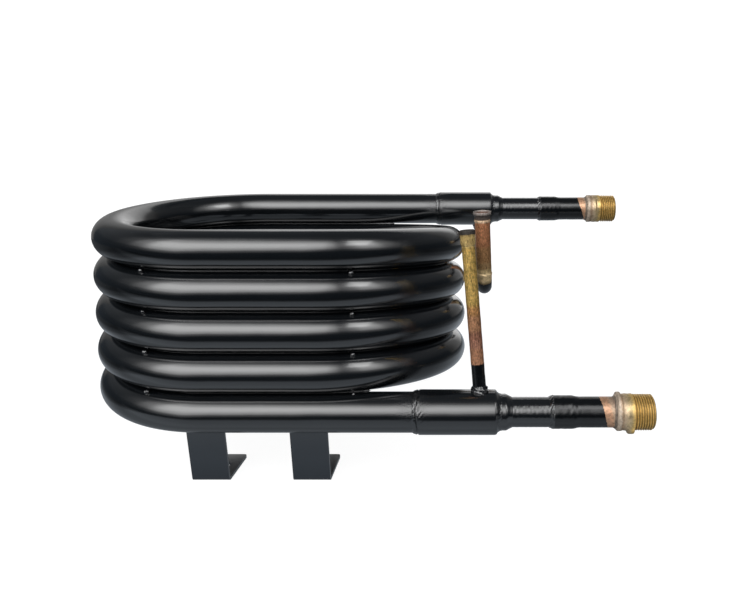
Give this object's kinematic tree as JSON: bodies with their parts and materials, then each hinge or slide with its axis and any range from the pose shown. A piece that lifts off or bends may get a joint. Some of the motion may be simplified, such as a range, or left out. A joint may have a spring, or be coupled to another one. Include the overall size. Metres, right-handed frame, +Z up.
{
  "type": "coaxial heat exchanger coil",
  "caption": "Tube-in-tube heat exchanger: black painted steel coil wound in a stacked racetrack on slotted sheet feet, with brass threaded water nipples and copper refrigerant stubs.",
  "frame": {"origin": "on the floor, under the middle of the whole part's box", "axes": "+X runs along the straight legs to the threaded water ends, +Y from the lower leg at the front to the upper leg at the back, +Z up the axis of the coil"},
  "size_m": [0.584, 0.2924, 0.2761],
  "materials": {
    "black_paint": "gloss black paint on steel",
    "painted_weld": "gloss black paint over rippled weld metal",
    "painted_copper": "gloss black paint, brushed over copper pipe",
    "foot_paint": "satin dark grey paint on folded steel sheet",
    "inner_copper": "clean drawn copper, hidden inside the coil",
    "bare_copper": "copper dulled and tinted by the torch",
    "heated_copper": "copper turned brass yellow and brown by the torch",
    "nipple_brass": "machined brass, pale and stained near the braze",
    "bare_braze": "grey braze metal with flux stains"
  },
  "bodies": {
    "root": {"outer_tube": "black_paint", "inner_tube": "inner_copper", "lower_header": "black_paint", "upper_header": "black_paint", "lower_seam_weld": "painted_weld", "upper_seam_weld": "painted_weld", "lower_reducer": "black_paint", "upper_reducer": "black_paint", "lower_end_weld": "painted_weld", "upper_end_weld": "painted_weld", "lower_water_pipe": "painted_copper", "upper_water_pipe": "painted_copper", "lower_tail": "painted_copper", "upper_tail": "painted_copper", "lower_bell_braze": "painted_weld", "upper_bell_braze": "painted_weld", "lower_nipple": "nipple_brass", "upper_nipple": "nipple_brass", "lower_nipple_braze": "bare_braze", "upper_nipple_braze": "bare_braze", "lower_stub": "heated_copper", "lower_port_weld": "painted_weld", "upper_elbow": "painted_copper", "upper_stub": "bare_copper", "upper_joint_braze": "bare_braze", "upper_port_weld": "painted_weld", "front_left_foot": "foot_paint", "front_right_foot": "foot_paint", "rear_left_foot": "foot_paint", "rear_right_foot": "foot_paint", "front_foot_welds": "painted_weld", "rear_foot_welds": "painted_weld", "front_tack_welds": "painted_weld", "rear_tack_welds": "painted_weld"}
  },
  "joints": []
}
